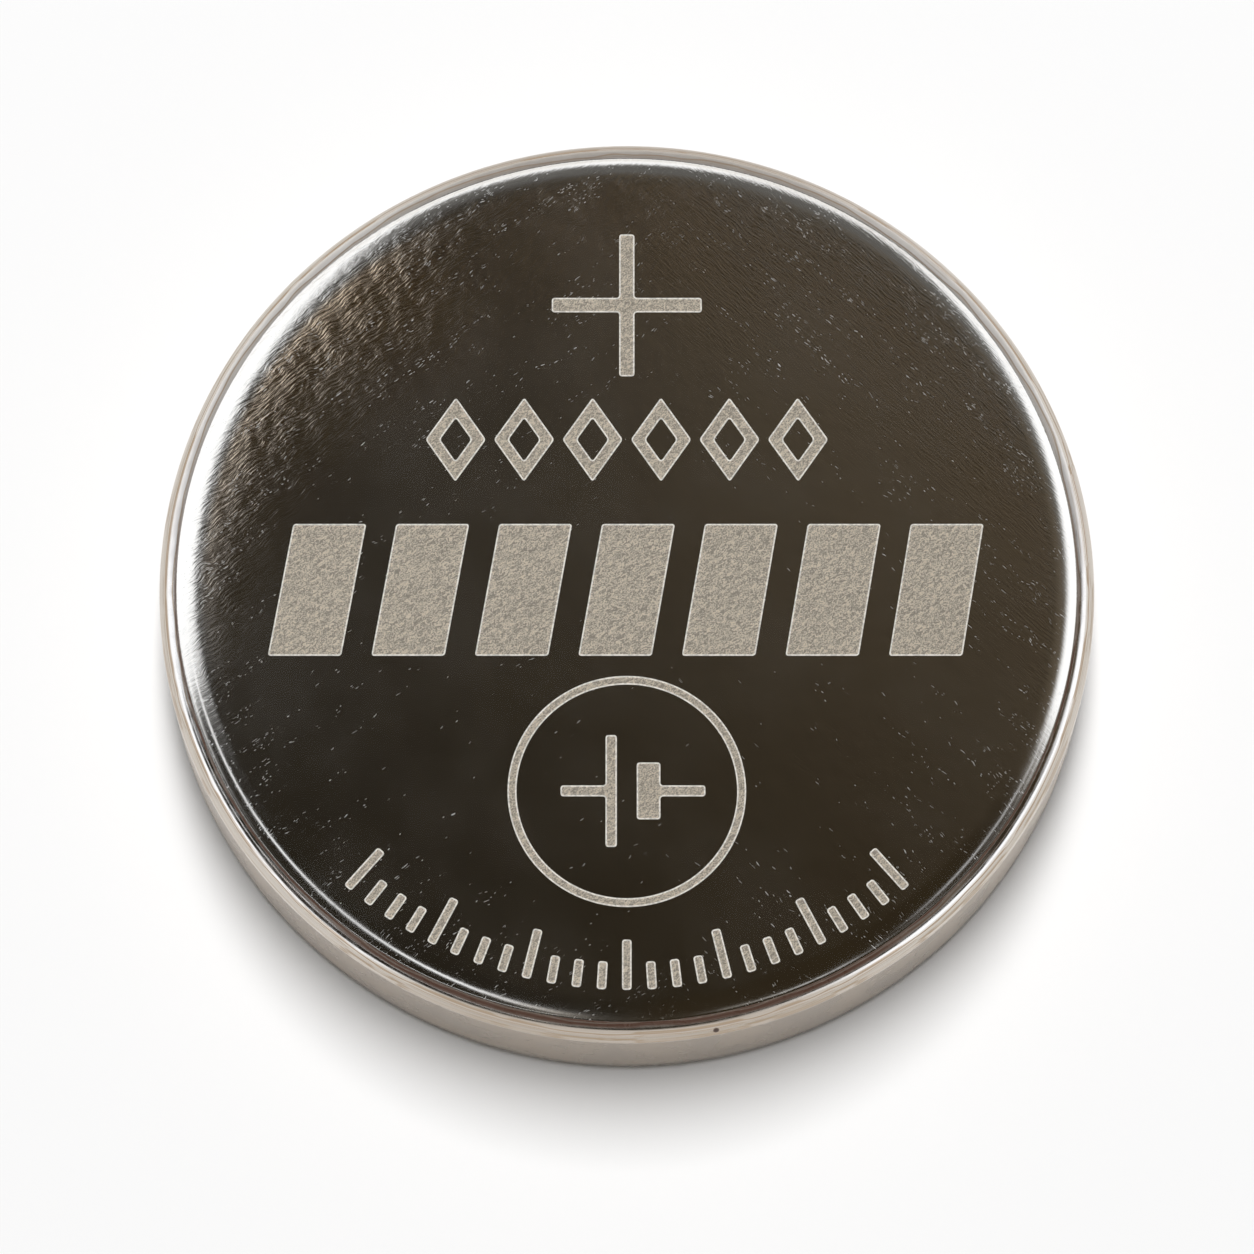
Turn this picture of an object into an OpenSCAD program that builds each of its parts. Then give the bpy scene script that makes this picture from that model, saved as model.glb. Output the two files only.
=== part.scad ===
// Lithium coin cell, 20 mm across and 3.2 mm high, lying on its negative face.
// The positive can is crimped over a gasket that holds the negative cap, and the
// electrodes are stacked between the two. The origin is the middle of the negative
// face, and +Z is the cell's axis, towards the positive face.

/* [Cell] */
// Outside diameter of the cell
cell_d = 20; // [18:0.1:24.5]
// Height from the negative face to the positive face
cell_h = 3.2; // [3:0.05:5]

/* [Positive can] */
// Thickness of the can's steel sheet
can_t = 0.25; // [0.2:0.01:0.3]
// Outside radius of the corner between the positive face and the wall
corner_r = 0.36; // [0.32:0.01:0.5]
// Width of the flat land between that corner and the crease round the face
land_w = 0.04; // [0.02:0.01:0.2]
// Width of the margin over which the face rolls down to the crease
roll_w = 0.49; // [0.3:0.01:0.8]
// How far the face drops over that margin
roll_drop = 0.1; // [0.03:0.01:0.12]
// Outside radius of the curled bottom edge
curl_r = 0.45; // [0.35:0.01:0.6]
// How far the curled edge reaches in from the wall
curl_reach = 1.05; // [0.9:0.01:1.3]
// Height of the curled edge above the negative face
curl_rise = 0.1; // [0.08:0.01:0.2]

/* [Negative cap] */
// Thickness of the cap's steel sheet
cap_t = 0.25; // [0.2:0.01:0.3]
// Outside radius of the edge round the negative face
cap_edge_r = 0.33; // [0.31:0.01:0.34]
// Hollow radius between the cap's step and its shoulder
cap_step_r = 0.08; // [0.05:0.01:0.1]
// Outside radius of the bend between the shoulder and the skirt
cap_bend_r = 0.35; // [0.31:0.01:0.4]

/* [Gasket] */
// Thickness of the gasket between the skirt and the can's wall
gasket_wall_t = 0.35; // [0.3:0.01:0.4]
// Thickness of the gasket between the shoulder and the can's curled edge
gasket_lip_t = 0.25; // [0.2:0.01:0.35]
// Thickness of the gasket between the skirt's end and the can's face
gasket_foot_t = 0.35; // [0.25:0.01:0.45]
// Width of the gasket that shows round the negative cap
gasket_show_w = 0.15; // [0.1:0.01:0.25]
// How far the gasket's end lies above the lowest point of the curled edge
gasket_sink = 0.04; // [0.02:0.01:0.1]
// Thickness of the gasket's inner wall, inside the skirt
gasket_inner_t = 0.3; // [0.2:0.01:0.4]
// Height of that inner wall
gasket_inner_h = 0.7; // [0.4:0.05:1]

/* [Electrodes] */
// Thickness of the lithium disc
lithium_t = 0.6; // [0.4:0.01:0.7]
// How far the lithium disc stays inside the separator's edge
lithium_margin = 0.5; // [0.2:0.05:1]
// Thickness of the separator
separator_t = 0.2; // [0.1:0.01:0.3]
// Clearance between the separator and the cap's step
separator_clearance = 0.15; // [0.05:0.01:0.4]
// How far the cathode pellet stays inside the separator's edge
cathode_margin = 0.5; // [0.2:0.05:1]

/* [Collector mesh] */
// Thickness of the collector mesh
mesh_t = 0.1; // [0.05:0.01:0.2]
// Clearance between the mesh and the can's face
mesh_clearance = 0.02; // [0:0.01:0.05]
// How far the mesh stays inside the cathode pellet's edge
mesh_margin = 0.4; // [0.1:0.05:1]
// Width of the plain border round the mesh
mesh_border = 0.4; // [0.2:0.05:1]
// Length of one opening
mesh_opening_l = 2; // [1.5:0.1:3]
// Width of one opening
mesh_opening_w = 1.2; // [0.8:0.1:2]
// Width of the strands between the openings
mesh_strand = 0.3; // [0.2:0.05:0.5]

/* [Hidden] */
$fn = 128;

// The can's outline
can_r = cell_d / 2;
bore_r = can_r - can_t;
land_z = cell_h - roll_drop;
crease_r = can_r - corner_r - land_w;
face_r = crease_r - roll_w;
// An arc that starts level at face_r and falls by roll_drop over roll_w
roll_r = (roll_w * roll_w + roll_drop * roll_drop) / (2 * roll_drop);
can_inside_z = cell_h - can_t;
mouth_r = can_r - curl_reach;
wall_foot_z = curl_rise + curl_r;
wall_top_z = land_z - corner_r;

// The cap's outline
step_r = mouth_r - gasket_show_w;
shoulder_z = curl_rise + can_t + gasket_lip_t;
skirt_r = bore_r - gasket_wall_t;
skirt_end_z = land_z - can_t - gasket_foot_t;

// The gasket's inner wall
gasket_bore_r = skirt_r - cap_t - gasket_inner_t;

// The stack of electrodes, from the cap up to the can
lithium_z = cap_t;
separator_z = lithium_z + lithium_t;
cathode_z = separator_z + separator_t;
mesh_z = can_inside_z - mesh_clearance - mesh_t;
cathode_t = mesh_z - cathode_z;
separator_r = step_r - cap_t - separator_clearance;
lithium_r = separator_r - lithium_margin;
cathode_r = separator_r - cathode_margin;
mesh_r = cathode_r - mesh_margin;

// How far a cut runs past the face that it opens
past = 1;
// How far the shapes that make up a section run into each other
lap = 0.05;

// Half section of a round block that stands on a rounded rim, with the bottom and
// the side drawn in by inset
module rounded_block(radius, bottom, top, rim_r, inset) {
    translate([0, bottom + rim_r]) square([radius - inset, top - bottom - rim_r]);
    translate([0, bottom + inset]) square([radius - rim_r, top - bottom - inset]);
    translate([radius - rim_r, bottom + rim_r]) circle(r = rim_r - inset);
}

// Half section of the positive face above the land, flat as far as face_r and then
// rolling down to the crease
module crowned_face(inset) {
    translate([0, land_z - inset - lap]) square([face_r, roll_drop + lap]);
    intersection() {
        translate([face_r, cell_h - roll_r]) circle(r = roll_r - inset);
        translate([face_r - lap, land_z - inset - lap]) square([roll_w + lap, 2 * roll_drop + lap]);
    }
}

// Half section of all that the can encloses, drawn in by inset
module can_outline(inset) {
    rounded_block(can_r, curl_rise, wall_top_z, curl_r, inset);
    translate([0, land_z]) mirror([0, 1])
        rounded_block(can_r, 0, land_z - wall_foot_z, corner_r, inset);
    crowned_face(inset);
}

// The edge of the curled sheet, rounded over its whole thickness
module curl_tip() {
    translate([mouth_r + can_t / 2, curl_rise + can_t / 2]) circle(r = can_t / 2);
}

module can_section() {
    difference() {
        can_outline(0);
        can_outline(can_t);
        square([mouth_r + can_t / 2, curl_rise + can_t + lap]);
    }
    curl_tip();
}

// Half section of all that the cap encloses, drawn in by inset, up to the height top
module cap_outline(inset, top) {
    rounded_block(step_r, 0, shoulder_z + cap_bend_r, cap_edge_r, inset);
    rounded_block(skirt_r, shoulder_z, top, cap_bend_r, inset);
    // The hollow bend between the step and the shoulder
    translate([step_r + cap_step_r, shoulder_z - cap_step_r]) difference() {
        translate([-cap_step_r - inset - lap, 0])
            square([cap_step_r + inset + lap, cap_step_r + inset + lap]);
        circle(r = cap_step_r + inset);
    }
}

module cap_section() {
    difference() {
        cap_outline(0, skirt_end_z);
        cap_outline(cap_t, skirt_end_z + past);
    }
}

// The gasket fills what the can and the cap leave between them, and turns up inside
// the skirt
module gasket_section() {
    difference() {
        union() {
            intersection() {
                can_outline(can_t);
                union() {
                    translate([step_r, 0]) square([can_r - step_r, shoulder_z + cap_bend_r]);
                    translate([gasket_bore_r, shoulder_z])
                        square([can_r - gasket_bore_r, cell_h - shoulder_z]);
                }
            }
            // The end that shows between the cap's step and the curled edge
            translate([step_r, curl_rise + gasket_sink])
                square([gasket_show_w + can_t / 2, can_t + gasket_lip_t / 2]);
        }
        curl_tip();
        cap_outline(0, skirt_end_z);
    }
    translate([gasket_bore_r, skirt_end_z - gasket_inner_h])
        square([gasket_inner_t, gasket_inner_h + lap]);
}

module positive_can() {
    color("silver") rotate_extrude() can_section();
}

module sealing_gasket() {
    color("dimgray") rotate_extrude() gasket_section();
}

module negative_cap() {
    color("lightgray") rotate_extrude() cap_section();
}

module lithium_disc() {
    color("lightsteelblue") translate([0, 0, lithium_z]) cylinder(r = lithium_r, h = lithium_t);
}

module separator_disc() {
    color("white") translate([0, 0, separator_z]) cylinder(r = separator_r, h = separator_t);
}

module cathode_pellet() {
    color("black") translate([0, 0, cathode_z]) cylinder(r = cathode_r, h = cathode_t);
}

// One diamond-shaped opening of the expanded mesh
module mesh_opening() {
    polygon([
        [mesh_opening_l / 2, 0], [0, mesh_opening_w / 2],
        [-mesh_opening_l / 2, 0], [0, -mesh_opening_w / 2]
    ]);
}

// Expanded metal: rows of diamonds, every second row moved along by half a pitch
module collector_mesh() {
    pitch_x = mesh_opening_l + mesh_strand;
    pitch_y = (mesh_opening_w + mesh_strand) / 2;
    rows = floor(mesh_r / pitch_y);
    columns = floor(mesh_r / pitch_x) + 1;
    open_r = mesh_r - mesh_border;
    color("gainsboro") translate([0, 0, mesh_z]) linear_extrude(mesh_t) difference() {
        circle(r = mesh_r);
        for (row = [-rows:rows], column = [-columns:columns]) {
            x = (column + (row % 2 == 0 ? 0 : 0.5)) * pitch_x;
            y = row * pitch_y;
            far_corner = max(
                norm([abs(x) + mesh_opening_l / 2, y]), norm([x, abs(y) + mesh_opening_w / 2])
            );
            if (far_corner < open_r) translate([x, y]) mesh_opening();
        }
    }
}

positive_can();
sealing_gasket();
negative_cap();
lithium_disc();
separator_disc();
cathode_pellet();
collector_mesh();
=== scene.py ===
"""Looks of the lithium coin cell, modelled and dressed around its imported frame."""

import math

import bmesh
import bpy
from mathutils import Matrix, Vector


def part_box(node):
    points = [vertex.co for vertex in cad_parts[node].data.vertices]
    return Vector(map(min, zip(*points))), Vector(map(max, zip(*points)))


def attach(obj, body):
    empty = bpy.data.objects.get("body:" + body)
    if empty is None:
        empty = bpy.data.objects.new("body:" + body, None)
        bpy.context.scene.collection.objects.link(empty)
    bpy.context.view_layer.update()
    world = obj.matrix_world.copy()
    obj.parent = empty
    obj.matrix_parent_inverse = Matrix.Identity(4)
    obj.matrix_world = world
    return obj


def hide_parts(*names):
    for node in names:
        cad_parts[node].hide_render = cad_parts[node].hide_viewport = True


bl_info = {
    "name": "Lithium coin cell",
    "version": (1, 0, 0),
    "blender": (4, 5, 0),
    "location": "3D View > Sidebar > Coin cell",
    "description": "Models and dresses a lithium coin cell around its packed frame",
    "category": "Object",
}

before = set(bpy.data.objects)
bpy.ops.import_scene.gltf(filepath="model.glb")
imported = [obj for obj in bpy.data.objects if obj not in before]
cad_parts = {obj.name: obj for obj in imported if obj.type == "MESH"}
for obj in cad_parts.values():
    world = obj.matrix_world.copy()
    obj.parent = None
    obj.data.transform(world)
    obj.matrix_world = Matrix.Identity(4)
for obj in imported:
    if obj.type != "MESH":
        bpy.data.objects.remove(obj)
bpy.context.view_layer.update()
CAN_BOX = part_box("positive_can")

# One millimetre in Blender's metres, how close two places count as the same, and two corners to be merged
MM = 0.001
NEAR = 0.01 * MM
MERGE = 0.001 * MM
# Sides of every round piece, and of the ring mark
SIDES = 256
RING_SIDES = 128
# Widths of the rings that divide a round face from its edge inwards
FACE_RINGS = (0.4 * MM, 1.5 * MM, 3 * MM)
# Steps in the roll of the face's margin, and segments of the rounded edges
ROLL_STEPS = 12
CORNER_STEPS = 14
CURL_STEPS = 16
TIP_STEPS = 6
CREASE_STEPS = 3
BEND_STEPS = 12
HOLLOW_STEPS = 6
MARK_STEPS = 4
# Share of the sheet's thickness by which each of its two edges is rounded
TIP_SHARE = 0.48
# Least part of a normal along an axis, where its face is square to the axis, and where it only tilts that way
SQUARE = 0.9
TILTED = 0.01
# Sharpest bend that is shaded smooth, and the least angle at which two walls of a mark form a corner
SMOOTH_BEND = math.radians(35)
WALL_CORNER = math.radians(30)

# Distances from the axis, in millimetres, over which something on the face fades in or out
BRUSH_GROWS = (6.2, 11.8)
BRUSH_SWELLS = (7.9, 8.9)
BRUSH_CALMS = (9.0, 9.35)
TAN_ENDS = (9.15, 8.9)
HAZE_GROWS = (8.4, 9.1)
HAZE_ENDS = (9.25, 9.1)
FLECKS_GROW = (3.5, 10.0)
RIM_FLECKS = (7.4, 9.0)
# The same by x: towards the right half, and from the middle to the cell's two sides
TO_RIGHT = (-1, 3)
TO_SIDES = (2.5, 6.5)
# The same by y: the cell's back half, and its front edge
BACK_HALF = (-3, 5)
FRONT_EDGE = (-5.5, -8.5)
# The same by z: the painted shade at the foot of the wall, and the underside of the curled edge, which keeps
# the plain nickel
WALL_FOOT_SHADE = (0.78, 0.5)
UNDERNEATH = (0.42, 0.2)

# The brushing on the left and the right: its lines per millimetre, along and across, and how far they sway
LEFT_BRUSH = (2.6, 16, 1)
LEFT_SWAY = 0.2
RIGHT_BRUSH = (3.0, 26, 1)
RIGHT_SWAY = 0.08
BENDS_PER_MM = 2.0
# Flecks: cells in a fleck's length, the edge and middle of a dot in its cell, and how uneven they are
FLECK_CELLS = 0.4
FLECK_DOT = (0.23, 0.12)
FLECK_CONTRAST = 1.5
# The short flecks' share of the long ones' length, and the share of empty cells, inside and near the rim
SHORT_FLECK = 0.45
EMPTY_CELLS = (0.965, 0.72)
# The trails in which the flecks lie
TRAIL_STRETCH = (0.5, 3, 1)
TRAIL_EDGE = (0.47, 0.60)
# The middle of a noise's range
MIDDLE = (0.3, 0.7)

WHITE = (1.0, 1.0, 1.0)
# The softboxes: direction and height in degrees, distance and size in metres, and radiance of the face
LAMPS = {
    "overhead_strip": {
        "azimuth": 89, "elevation": 77, "distance": 0.6, "width": 0.127, "depth": 0.535, "radiance": 17.6,
    },
    "front_softbox": {
        "azimuth": 275, "elevation": 76, "distance": 0.6, "width": 0.12, "depth": 0.12, "radiance": 1.8,
    },
}
# The canopy is described in tangents off the zenith, to the right and to the back. A direction counts as at
# least this high, so that they stay finite.
LOWEST_RISE = 0.02
# Towards the back, the canopy's left end draws in and moves out again, and its right end does the reverse
LEFT_NARROWS = (0.1, 0.28)
LEFT_WIDENS = (0.5, 0.95)
RIGHT_WIDENS = (-0.56, -0.34)
RIGHT_NARROWS = (0.0, 0.14)
# Its gaps: direction in degrees, distance off the zenith, start beside the middle, and share of open sky
CANOPY_GAPS = (
    {"turn": 214.0, "distance": 0.38, "start": 0.06, "share": 1.0},
    {"turn": -34.5, "distance": 0.54, "start": 0.44, "share": 0.45},
)
# The soft edge of a gap, and the length over which its end fades
GAP_EDGE = (0.048, 0.016)
GAP_END = 0.1
# Where the canopy's colour changes: to the right, further back, and at the shaded part
DARK_TO_WARM = (-0.04, 0.05)
TO_BROWN = (0.235, 0.45)
TO_PALE = (0.45, 0.75)
SHADED_SIDE = (0.02, -0.03)
SHADED_BACK = (0.285, 0.335)
# The room glows above this height, as a direction's z, and behind these tangents
GLOW_RISES = (0.35, 0.6)
GLOW_BEHIND = (-0.45, -0.1)
# The camera's sensor in millimetres, and the nearest and farthest place that it sees, in metres
SENSOR_WIDTH = 36
CAMERA_RANGE = (0.01, 10)


def size(name, description, millimetres):
    """A length that the sidebar shows."""
    return bpy.props.FloatProperty(
        name=name, description=description, default=millimetres * MM,
        precision=5, unit="LENGTH", subtype="DISTANCE",
    )


def angle(name, description, degrees):
    """An angle that the sidebar shows."""
    return bpy.props.FloatProperty(
        name=name, description=description, default=math.radians(degrees),
        unit="ROTATION", subtype="ANGLE",
    )


def number(name, description, default):
    """A plain number that the sidebar shows."""
    return bpy.props.FloatProperty(name=name, description=description, default=default, min=0)


def count(name, description, default):
    """A whole number that the sidebar shows."""
    return bpy.props.IntProperty(name=name, description=description, default=default, min=1)


def colour(name, description, default):
    """A colour that the sidebar shows."""
    return bpy.props.FloatVectorProperty(
        name=name, description=description, default=default, size=3, min=0, max=1, subtype="COLOR"
    )


class CanSizes(bpy.types.PropertyGroup):
    """Sizes of the positive can."""

    radius: size("Radius", "Outside radius of the wall", CAN_BOX[1].x / MM)
    height: size("Height", "Height of the positive face above the negative face", CAN_BOX[1].z / MM)
    sheet: size("Sheet", "Thickness of the steel sheet", 0.25)
    corner: size("Corner", "Outside radius of the corner between the face and the wall", 0.36)
    land: size("Land", "Width of the flat land between the corner and the crease", 0.04)
    roll_width: size("Roll width", "Width of the margin over which the face rolls down", 0.49)
    roll_drop: size("Roll drop", "How far the face drops over that margin", 0.1)
    crease: size("Crease", "Width of the softened crease between the margin and the land", 0.02)
    curl: size("Curl", "Outside radius of the curled bottom edge", 0.45)
    curl_reach: size("Curl reach", "How far the curled edge reaches in from the wall", 1.05)
    curl_rise: size("Curl rise", "Height of the curled edge above the negative face", 0.1)


class CapSizes(bpy.types.PropertyGroup):
    """Sizes of the negative cap."""

    sheet: size("Sheet", "Thickness of the steel sheet", 0.25)
    step_radius: size("Step radius", "Outside radius of the step round the negative face", 8.8)
    edge: size("Edge", "Outside radius of the edge round the negative face", 0.33)
    step_hollow: size("Step hollow", "Hollow radius between the step and the shoulder", 0.08)
    shoulder: size("Shoulder", "Height of the shoulder above the negative face", 0.6)
    skirt_radius: size("Skirt radius", "Outside radius of the skirt", 9.4)
    skirt_top: size("Skirt top", "Height of the skirt's end", 2.5)
    bend: size("Bend", "Outside radius of the bend between the shoulder and the skirt", 0.35)


class GasketSizes(bpy.types.PropertyGroup):
    """Sizes of the gasket."""

    bore: size("Bore", "Inside radius of the gasket's inner wall", 8.85)
    inner_wall: size("Inner wall", "Thickness of the gasket's inner wall", 0.3)
    inner_low: size("Inner wall foot", "Height at which the inner wall starts", 1.8)
    foot_top: size("Foot top", "Height of the gasket's face against the can", 2.85)
    lip_rise: size("Lip rise", "Height of the gasket's visible end", 0.14)
    lip_width: size("Lip width", "Width of the gasket that shows round the cap", 0.18)


class MarkSizes(bpy.types.PropertyGroup):
    """Sizes and places of the frosted marks on the positive face."""

    sunk: size("Sunk", "How deep a mark's plate is set in the face", 0.01)
    proud: size("Proud", "How far a mark's plate stands over the face", 0.004)
    border: size("Border", "Width of the bright line round a mark", 0.032)
    rounding: size("Rounding", "Radius of a mark's corners", 0.06)
    plus_y: size("Plus height", "Place of the plus sign above the middle", 6.19)
    plus_span: size("Plus span", "Length of the plus sign's bars", 3.24)
    plus_stroke: size("Plus stroke", "Width of the plus sign's bars", 0.33)
    rhomb_y: size("Rhomb row height", "Place of the row of rhombs above the middle", 3.14)
    rhomb_count: count("Rhombs", "Rhombs in the row", 6)
    rhomb_width: size("Rhomb width", "Width of a rhomb", 1.3)
    rhomb_height: size("Rhomb height", "Height of a rhomb", 1.9)
    rhomb_pitch: size("Rhomb pitch", "Distance from rhomb to rhomb", 1.47)
    rhomb_stroke: size("Rhomb stroke", "Width of a rhomb's line", 0.26)
    block_y: size("Block row height", "Place of the row of slanted blocks above the middle", -0.22)
    block_count: count("Blocks", "Slanted blocks in the row", 7)
    block_width: size("Block width", "Width of a slanted block", 1.56)
    block_height: size("Block height", "Height of a slanted block", 2.93)
    block_pitch: size("Block pitch", "Distance from block to block", 2.2)
    block_slant: size("Block slant", "How far a block's top leans to the right", 0.5)
    ring_y: size("Ring height", "Place of the ring above the middle", -4.65)
    ring_radius: size("Ring radius", "Outside radius of the ring", 2.52)
    ring_stroke: size("Ring stroke", "Width of the ring's line", 0.19)
    symbol_stroke: size("Symbol stroke", "Width of the leads and the long plate of the symbol", 0.24)
    short_plate: size("Short plate", "Width of the symbol's short plate", 0.5)
    plate_gap: size("Plate gap", "Gap between the symbol's two plates", 0.42)
    long_arm: size("Long arm", "How far the long plate reaches from its lead", 1.1)
    short_arm: size("Short arm", "How far the short plate reaches from its lead", 0.5)
    lead: size("Lead", "Length of the symbol's leads", 0.95)
    scale_radius: size("Scale radius", "Outside radius of the arc of ticks", 8.95)
    scale_count: count("Ticks", "Ticks along the arc", 25)
    scale_span: angle("Scale span", "Angle that the arc of ticks covers", 82)
    tick_every: count("Long tick every", "Each of these many ticks is a long one", 4)
    long_tick: size("Long tick", "Length of a long tick", 1.08)
    short_tick: size("Short tick", "Length of a short tick", 0.6)
    tick_stroke: size("Tick stroke", "Width of a tick", 0.2)


class Finishes(bpy.types.PropertyGroup):
    """Colours and finishes."""

    steel: colour("Nickel", "Colour of the can's nickel-plated steel", (0.60, 0.55, 0.48))
    steel_worn: colour("Scratched nickel", "Colour of the scratches in the face", (0.80, 0.76, 0.69))
    steel_wall: colour("Wall nickel", "Colour of the can's wall", (0.435, 0.36, 0.285))
    # The corner's lines: their tan and pale colours are painted reflection bands, and the bright colour is a
    # painted highlight at the cell's sides
    steel_tan: colour("Tan nickel", "Colour of the tan lines round the corner", (0.39, 0.30, 0.215))
    steel_pale: colour("Pale nickel", "Colour of the pale lines round the corner", (0.49, 0.435, 0.375))
    steel_side_highlight: colour("Bright nickel", "Colour of the pale lines at its sides", (0.62, 0.57, 0.51))
    steel_brushed: colour("Brushed nickel", "Colour of the brushed rim of the face", (0.67, 0.52, 0.36))
    face_roughness: number("Face roughness", "Roughness of the polished face", 0.12)
    wall_roughness: number("Wall roughness", "Roughness of the can's wall", 0.27)
    # Painted shade: the colour of the dark lines in the crease and on the corner in front, also given to the
    # nick
    shade_and_nick_colour: colour("Dirt", "Colour of the dirt in the crease", (0.085, 0.045, 0.031))
    crease_radius: size("Dirt radius", "Radius of the dirty line in the crease", 9.65)
    crease_width: size("Dirt width", "Width of the dirty line in the crease", 0.05)
    land_radius: size("Worn land radius", "Middle of the worn land at the back", 9.67)
    land_width: size("Worn land width", "Width of the worn land at the back", 0.24)
    # Place of the thin line of painted shade on the corner in front
    dark_line_radius: size("Score radius", "Radius of the thin scored line on the corner", 9.71)
    dark_line_width: size("Score width", "Width of the thin scored line on the corner", 0.10)
    fleck_length: size("Fleck length", "Length of the longer bright flecks in the face", 0.12)
    fleck_width: size("Fleck width", "Width of the bright flecks in the face", 0.014)
    nick_place: bpy.props.FloatVectorProperty(
        name="Nick", description="Place of the small nick in the corner",
        default=(1.87 * MM, -9.76 * MM, 2.95 * MM), size=3, precision=5, subtype="TRANSLATION",
    )
    nick_radius: size("Nick radius", "Radius of the small nick in the corner", 0.08)
    brush_turn: angle("Brush direction", "Direction of the fine brushing on the left of the face", 37)
    brush_turn_right: angle("Brush direction, right", "Direction of the fine brushing on the right", -44)
    brush_lean: number("Brush lean", "How much further out the back of the face counts", 0.42)
    brush_left: angle("Left brushing", "Where the deepest brushing on the left lies", 155)
    brush_right: angle("Right brushing", "Where the deeper brushing on the right lies", 50)
    brush_sector: angle("Brushing reach", "How far either reaches to its two sides", 46)
    brush_depth: number("Brush depth", "Depth of the brushing near the rim, in microns", 2.8)
    brush_depth_left: number("Brush depth, left", "What the left brushing adds to it", 5.5)
    brush_depth_right: number("Brush depth, right", "What the right brushing adds to it", 2.0)
    etched_dark: colour("Etched dark", "Darkest colour of the frosted marks", (0.355, 0.305, 0.24))
    etched_light: colour("Etched light", "Lightest colour of the frosted marks", (0.78, 0.67, 0.515))
    etched_line: colour("Etched line", "Colour of the bright line round the marks", (0.93, 0.88, 0.79))
    cap_steel: colour("Cap steel", "Colour of the negative cap", (0.60, 0.58, 0.55))
    gasket: colour("Gasket", "Colour of the gasket", (0.030, 0.030, 0.033))
    lithium: colour("Lithium", "Colour of the lithium foil", (0.62, 0.63, 0.66))
    lithium_dull: colour("Dull lithium", "Colour of the lithium's dull patches", (0.30, 0.31, 0.34))
    fleece: colour("Fleece", "Colour of the separator", (0.82, 0.82, 0.80))
    cathode: colour("Cathode", "Colour of the pressed cathode", (0.022, 0.021, 0.020))
    mesh_steel: colour("Mesh steel", "Colour of the collector mesh", (0.55, 0.55, 0.56))


class StudioSizes(bpy.types.PropertyGroup):
    """Camera, floor, surroundings and lamps."""

    camera_elevation: angle("Camera elevation", "Height of the camera above the horizon", 73.9)
    camera_distance: size("Camera distance", "Distance from the camera to what it looks at", 130)
    camera_right: size("Camera right", "How far right of the face's middle the camera looks", 0.004)
    camera_down: size("Camera down", "How far below the face's middle the camera looks", 1.007)
    lens: number("Lens", "Focal length in millimetres, on a sensor 36 mm wide", 175)
    floor_side: size("Floor", "Side of the floor", 900)
    floor_paint: colour("Floor paint", "Colour of the floor as a lamp", (0.90, 0.90, 0.90))
    canopy_left: number("Canopy left", "Tangent off the zenith at which the dark canopy ends", 0.11)
    canopy_front_left: number("Canopy front left", "The same, to the left of its front part", 0.80)
    canopy_right: number("Canopy right", "The same, to the right", 0.46)
    canopy_middle_right: number("Canopy middle right", "The same, to the right of its middle part", 0.80)
    canopy_front_right: number("Canopy front right", "The same, to the right of its front part", 0.12)
    canopy_back: number("Canopy back", "The same, to the back", 1.15)
    canopy_front: number("Canopy front", "The same, to the front", 0.60)
    canopy_back_left: number("Canopy back left", "What is added to the left, further back", 0.17)
    canopy_fade: number("Canopy fade", "Width of the canopy's soft edge, as such a tangent", 0.26)
    canopy_dark: colour("Dark canopy", "The canopy overhead, on its left", (0.0265, 0.0232, 0.0172))
    canopy_warm: colour("Warm canopy", "The same, on its right", (0.040, 0.0308, 0.018))
    canopy_brown: colour("Brown canopy", "The canopy further back", (0.16, 0.137, 0.105))
    canopy_shaded: colour("Shaded canopy", "The same, on its left", (0.046, 0.042, 0.036))
    canopy_pale: colour("Pale canopy", "The canopy's back end", (0.17, 0.177, 0.185))
    room_glow: bpy.props.FloatVectorProperty(
        name="Room glow", description="Radiance of the room's upper part in the metal",
        default=(1.75, 1.9, 2.15), size=3, min=0,
    )
    world_light: number("World light", "Strength of the pale surroundings as a lamp", 0.031)


class CoinCell(bpy.types.PropertyGroup):
    """All the sizes and colours of the scene."""

    can: bpy.props.PointerProperty(type=CanSizes)
    cap: bpy.props.PointerProperty(type=CapSizes)
    gasket: bpy.props.PointerProperty(type=GasketSizes)
    marks: bpy.props.PointerProperty(type=MarkSizes)
    finishes: bpy.props.PointerProperty(type=Finishes)
    studio: bpy.props.PointerProperty(type=StudioSizes)


# Modelling helpers

def begin(name, add, **settings):
    """Adds a primitive with nothing else selected, puts its place in its mesh and opens it for editing."""
    if bpy.context.mode != "OBJECT":
        bpy.ops.object.mode_set(mode="OBJECT")
    bpy.ops.object.select_all(action="DESELECT")
    add(**settings)
    piece = bpy.context.object
    piece.name = name
    piece.data.name = name
    bpy.ops.object.transform_apply()
    bpy.ops.object.mode_set(mode="EDIT")
    return piece


def choose(kind, test):
    """In edit mode, selects the vertices, edges or faces that pass the test, and nothing else."""
    bpy.ops.mesh.select_mode(type=kind)
    bpy.ops.mesh.select_all(action="DESELECT")
    mesh = bmesh.from_edit_mesh(bpy.context.edit_object.data)
    elements = {"VERT": mesh.verts, "EDGE": mesh.edges, "FACE": mesh.faces}[kind]
    for element in elements:
        if test(element):
            element.select_set(True)
    mesh.select_flush_mode()
    bmesh.update_edit_mesh(bpy.context.edit_object.data)


def on_ring(radius, height):
    """A test for the edges that lie on the circle of that radius at that height."""
    def test(edge):
        return all(
            abs(corner.co.xy.length - radius) < NEAR and abs(corner.co.z - height) < NEAR
            for corner in edge.verts
        )
    return test


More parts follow.
